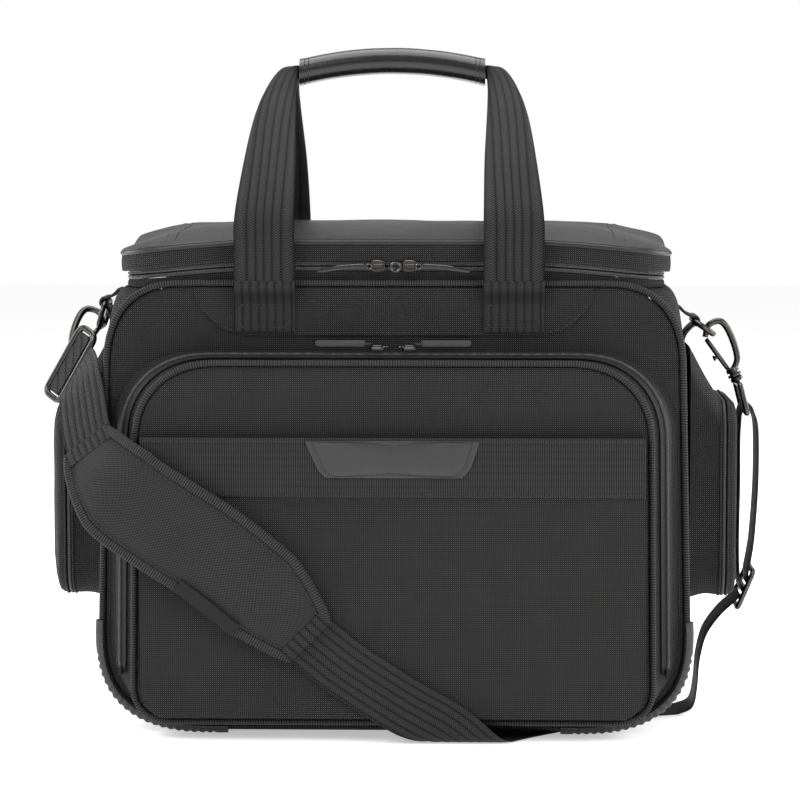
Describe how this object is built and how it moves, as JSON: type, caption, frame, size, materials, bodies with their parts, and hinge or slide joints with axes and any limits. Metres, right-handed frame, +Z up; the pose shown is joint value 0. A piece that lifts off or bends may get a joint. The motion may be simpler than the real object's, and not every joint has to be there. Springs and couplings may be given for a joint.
{
  "type": "flight bag",
  "caption": "Soft-sided black flight bag with a domed zip lid, a double handle with a wrapped grip, front and side pockets, moulded corner guards and a padded shoulder strap.",
  "frame": {"origin": "centre of the bag's footprint box on the floor, measured without the shoulder strap", "axes": "+Z up, -Y out of the front with the pockets, +X to the right seen from the front"},
  "size_m": [0.485, 0.2394, 0.4585],
  "materials": {
    "ballistic_nylon": "matte dotted basket weave, black",
    "nylon_webbing": "ribbed webbing and corded piping, black",
    "lid_leather": "satin coated black",
    "grip_leather": "glossy smooth black",
    "moulded_guard": "satin moulded black",
    "zip_coil": "nylon coil zip, black",
    "dark_nickel": "dark nickel plate",
    "lining_fabric": "plain lining cloth, dark grey",
    "stiffener_board": "plain sheet",
    "strap_pad": "fine twill over foam, black"
  },
  "bodies": {
    "root": {"front_panel": "ballistic_nylon", "back_panel": "ballistic_nylon", "side_gusset": "ballistic_nylon", "front_piping": "nylon_webbing", "back_piping": "nylon_webbing", "corner_guard_front_right": "moulded_guard", "corner_guard_front_left": "moulded_guard", "corner_guard_back_right": "moulded_guard", "corner_guard_back_left": "moulded_guard", "compartment_lining": "lining_fabric", "base_board": "stiffener_board", "collar": "ballistic_nylon", "main_zipper_body_side": "zip_coil", "lid_hinge_strip": "nylon_webbing", "front_pocket_gusset": "ballistic_nylon", "front_pocket_cover": "ballistic_nylon", "front_pocket_piping": "nylon_webbing", "front_pocket_zipper": "zip_coil", "slip_pocket_panel": "ballistic_nylon", "hem_band": "nylon_webbing", "leather_patch": "lid_leather", "side_pocket_wall_right": "ballistic_nylon", "side_pocket_door_right": "ballistic_nylon", "side_pocket_wall_left": "ballistic_nylon", "side_pocket_door_left": "ballistic_nylon", "handle_anchor_front_right": "nylon_webbing", "handle_anchor_front_left": "nylon_webbing", "handle_anchor_rear_right": "nylon_webbing", "handle_anchor_rear_left": "nylon_webbing", "ring_tab_right": "lid_leather", "ring_tab_left": "lid_leather", "d_ring_right": "dark_nickel", "d_ring_left": "dark_nickel", "strap_webbing": "nylon_webbing", "strap_loop_webbing": "nylon_webbing", "strap_pad": "strap_pad", "strap_triglide": "dark_nickel", "swivel_eye_right": "dark_nickel", "strap_ring_left": "dark_nickel", "hook_body_right": "dark_nickel", "hook_body_left": "dark_nickel"},
    "lid": {"main_zipper_lid_side": "zip_coil", "lid_side_band": "ballistic_nylon", "lid_top_panel": "lid_leather", "lid_stiffener": "stiffener_board"},
    "front_handle_loop": {"front_handle": "nylon_webbing", "front_grip_half": "grip_leather"},
    "rear_handle_loop": {"rear_handle": "nylon_webbing", "rear_grip_half": "grip_leather"},
    "lid_slider_right": {"lid_slider_right": "dark_nickel"},
    "lid_slider_left": {"lid_slider_left": "dark_nickel"},
    "lid_puller_right": {"lid_puller_right": "dark_nickel"},
    "lid_puller_left": {"lid_puller_left": "dark_nickel"},
    "pocket_slider_right": {"pocket_slider_right": "dark_nickel"},
    "pocket_slider_left": {"pocket_slider_left": "dark_nickel"},
    "pocket_puller_right": {"pocket_puller_right": "moulded_guard"},
    "pocket_puller_left": {"pocket_puller_left": "moulded_guard"},
    "side_slider_right": {"side_slider_right": "dark_nickel"},
    "side_slider_left": {"side_slider_left": "dark_nickel"},
    "hook_gate_right": {"hook_gate_right": "dark_nickel"}
  },
  "joints": [
    {"name": "lid_hinge", "type": "hinge", "parent": "root", "child": "lid", "pos_m": [0, 0.1018, 0.3115], "axis": [-1, 0, 0], "range_deg": [0, 105]},
    {"name": "front_handle_fold", "type": "hinge", "parent": "root", "child": "front_handle_loop", "pos_m": [0, -0.0869, 0.303], "axis": [1, 0, 0], "range_deg": [0, 150]},
    {"name": "rear_handle_fold", "type": "hinge", "parent": "root", "child": "rear_handle_loop", "pos_m": [0, 0.1143, 0.303], "axis": [-1, 0, 0], "range_deg": [0, 150]},
    {"name": "lid_slider_right_slide", "type": "slide", "parent": "root", "child": "lid_slider_right", "axis": [1, 0, 0], "range_m": [0, 0.122]},
    {"name": "lid_puller_right_flip", "type": "hinge", "parent": "lid_slider_right", "child": "lid_puller_right", "pos_m": [0.012, -0.0794, 0.3122], "axis": [0, 0, -1], "range_deg": [0, 135]},
    {"name": "pocket_slider_right_slide", "type": "slide", "parent": "root", "child": "pocket_slider_right", "axis": [1, 0, 0], "range_m": [0, 0.108]},
    {"name": "pocket_puller_right_flip", "type": "hinge", "parent": "pocket_slider_right", "child": "pocket_puller_right", "pos_m": [0.017, -0.0884, 0.2618], "axis": [0, -1, 0], "range_deg": [0, 135]},
    {"name": "side_slider_right_slide", "type": "slide", "parent": "root", "child": "side_slider_right", "axis": [0, 0, 1], "range_m": [-0.018, 0.06]},
    {"name": "lid_slider_left_slide", "type": "slide", "parent": "root", "child": "lid_slider_left", "axis": [-1, 0, 0], "range_m": [0, 0.122]},
    {"name": "lid_puller_left_flip", "type": "hinge", "parent": "lid_slider_left", "child": "lid_puller_left", "pos_m": [-0.012, -0.0794, 0.3122], "axis": [0, 0, 1], "range_deg": [0, 135]},
    {"name": "pocket_slider_left_slide", "type": "slide", "parent": "root", "child": "pocket_slider_left", "axis": [-1, 0, 0], "range_m": [0, 0.108]},
    {"name": "pocket_puller_left_flip", "type": "hinge", "parent": "pocket_slider_left", "child": "pocket_puller_left", "pos_m": [-0.017, -0.0884, 0.2618], "axis": [0, 1, 0], "range_deg": [0, 135]},
    {"name": "side_slider_left_slide", "type": "slide", "parent": "root", "child": "side_slider_left", "axis": [0, 0, 1], "range_m": [-0.018, 0.06]},
    {"name": "hook_gate_right_swing", "type": "hinge", "parent": "root", "child": "hook_gate_right", "pos_m": [0.22648, 0.012, 0.23977], "axis": [0, 1, 0], "range_deg": [0, 28], "stiffness_Nm_per_rad": 0.02}
  ],
  "couplings": [
    {"joint": "front_handle_fold", "follows": "lid_hinge", "ratio": 1.4},
    {"joint": "rear_handle_fold", "follows": "lid_hinge", "ratio": 1.15}
  ]
}
